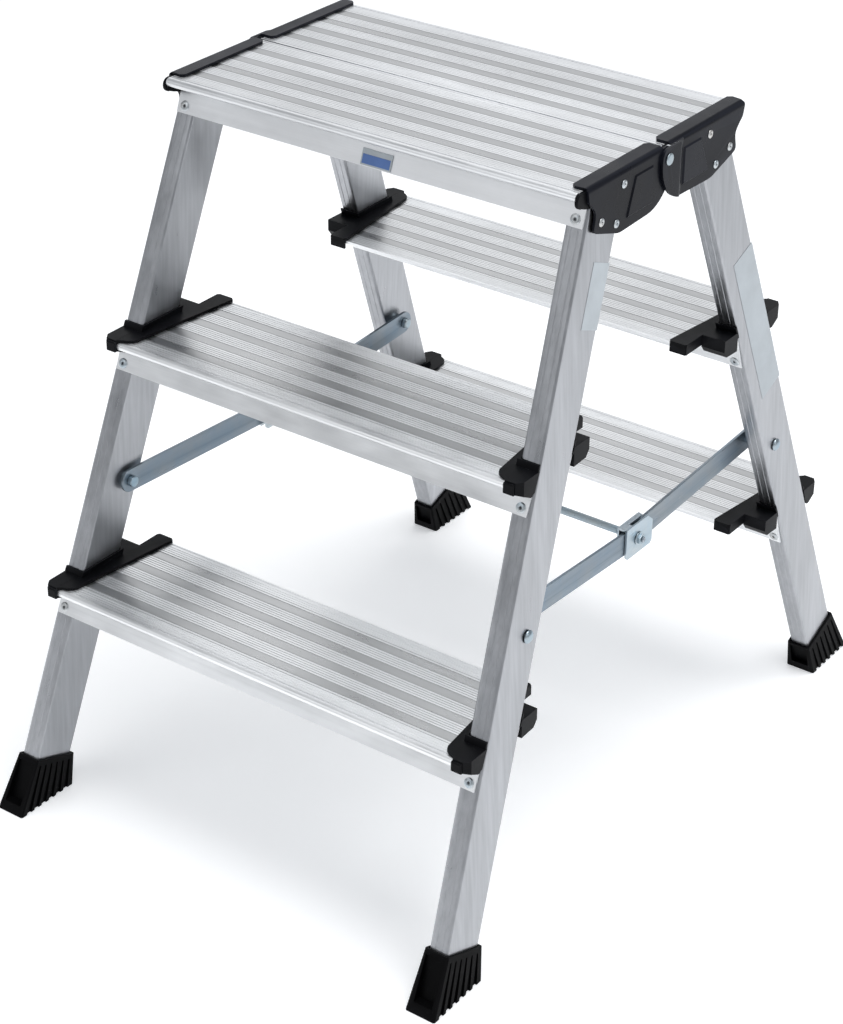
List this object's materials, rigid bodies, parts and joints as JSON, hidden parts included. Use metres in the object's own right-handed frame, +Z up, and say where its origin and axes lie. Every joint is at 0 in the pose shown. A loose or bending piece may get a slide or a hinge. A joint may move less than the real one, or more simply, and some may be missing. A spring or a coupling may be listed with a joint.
{
  "type": "double-sided step ladder",
  "caption": "Double-sided folding aluminium step ladder with ribbed treads, a split platform hinged in the middle, folding stays and black plastic fittings.",
  "frame": {"origin": "on the floor, centred between the four feet", "axes": "+Z up, +X towards the right-hand stiles seen from the front, -Y towards the front frame"},
  "size_m": [0.54, 0.775, 0.7028],
  "materials": {
    "aluminium_tread": "ribbed extrusion, satin mill finish",
    "aluminium_stile": "extruded tube with streaks along its length",
    "black_plastic": "fine-grained moulding",
    "black_rubber": "matt moulding",
    "black_painted_steel": "satin black coat",
    "zinc_plated_steel": "bluish zinc plating"
  },
  "bodies": {
    "front_frame": {"front_left_foot": "black_rubber", "front_left_hinge_plate": "black_painted_steel", "front_left_lower_cap": "black_plastic", "front_left_middle_cap": "black_plastic", "front_left_nose_plug": "black_plastic", "front_left_stay_bush": "zinc_plated_steel", "front_left_stay_screw": "zinc_plated_steel", "front_left_stile": "aluminium_stile", "front_lower_tread": "aluminium_tread", "front_middle_tread": "aluminium_tread", "front_platform": "aluminium_tread", "front_right_foot": "black_rubber", "front_right_hinge_plate": "black_painted_steel", "front_right_lower_cap": "black_plastic", "front_right_middle_cap": "black_plastic", "front_right_nose_plug": "black_plastic", "front_right_stay_bush": "zinc_plated_steel", "front_right_stay_screw": "zinc_plated_steel", "front_right_stile": "aluminium_stile", "left_hinge_pin": "zinc_plated_steel", "right_hinge_pin": "zinc_plated_steel"},
    "rear_frame": {"rear_left_foot": "black_rubber", "rear_left_hinge_plate": "black_painted_steel", "rear_left_lower_cap": "black_plastic", "rear_left_middle_cap": "black_plastic", "rear_left_nose_plug": "black_plastic", "rear_left_stay_bush": "zinc_plated_steel", "rear_left_stay_screw": "zinc_plated_steel", "rear_left_stile": "aluminium_stile", "rear_lower_tread": "aluminium_tread", "rear_middle_tread": "aluminium_tread", "rear_platform": "aluminium_tread", "rear_right_foot": "black_rubber", "rear_right_hinge_plate": "black_painted_steel", "rear_right_lower_cap": "black_plastic", "rear_right_middle_cap": "black_plastic", "rear_right_nose_plug": "black_plastic", "rear_right_stay_bush": "zinc_plated_steel", "rear_right_stay_screw": "zinc_plated_steel", "rear_right_stile": "aluminium_stile"},
    "front_stay_left": {"front_left_stay": "zinc_plated_steel"},
    "front_stay_right": {"front_right_stay": "zinc_plated_steel"},
    "rear_stays": {"left_joint_bolt": "zinc_plated_steel", "left_joint_clip": "zinc_plated_steel", "rear_left_stay": "zinc_plated_steel", "rear_right_stay": "zinc_plated_steel", "right_joint_bolt": "zinc_plated_steel", "right_joint_clip": "zinc_plated_steel", "tie_rod": "zinc_plated_steel"}
  },
  "joints": [
    {"name": "fold", "type": "hinge", "parent": "front_frame", "child": "rear_frame", "pos_m": [0, 0, 0.69], "axis": [-1, 0, 0], "range_deg": [0, 38]},
    {"name": "front_stay_left_pivot", "type": "hinge", "parent": "front_frame", "child": "front_stay_left", "pos_m": [-0.2205, -0.2205, 0.317], "axis": [1, 0, 0], "range_deg": [0, 51]},
    {"name": "front_stay_right_pivot", "type": "hinge", "parent": "front_frame", "child": "front_stay_right", "pos_m": [0.2205, -0.2205, 0.317], "axis": [1, 0, 0], "range_deg": [0, 51]},
    {"name": "rear_stays_pivot", "type": "hinge", "parent": "rear_frame", "child": "rear_stays", "pos_m": [0, 0.2205, 0.317], "axis": [-1, 0, 0], "range_deg": [0, 51]}
  ],
  "couplings": [
    {"joint": "front_stay_left_pivot", "follows": "fold", "ratio": 1.3394},
    {"joint": "front_stay_right_pivot", "follows": "fold", "ratio": 1.3394},
    {"joint": "rear_stays_pivot", "follows": "fold", "ratio": 1.3394}
  ]
}
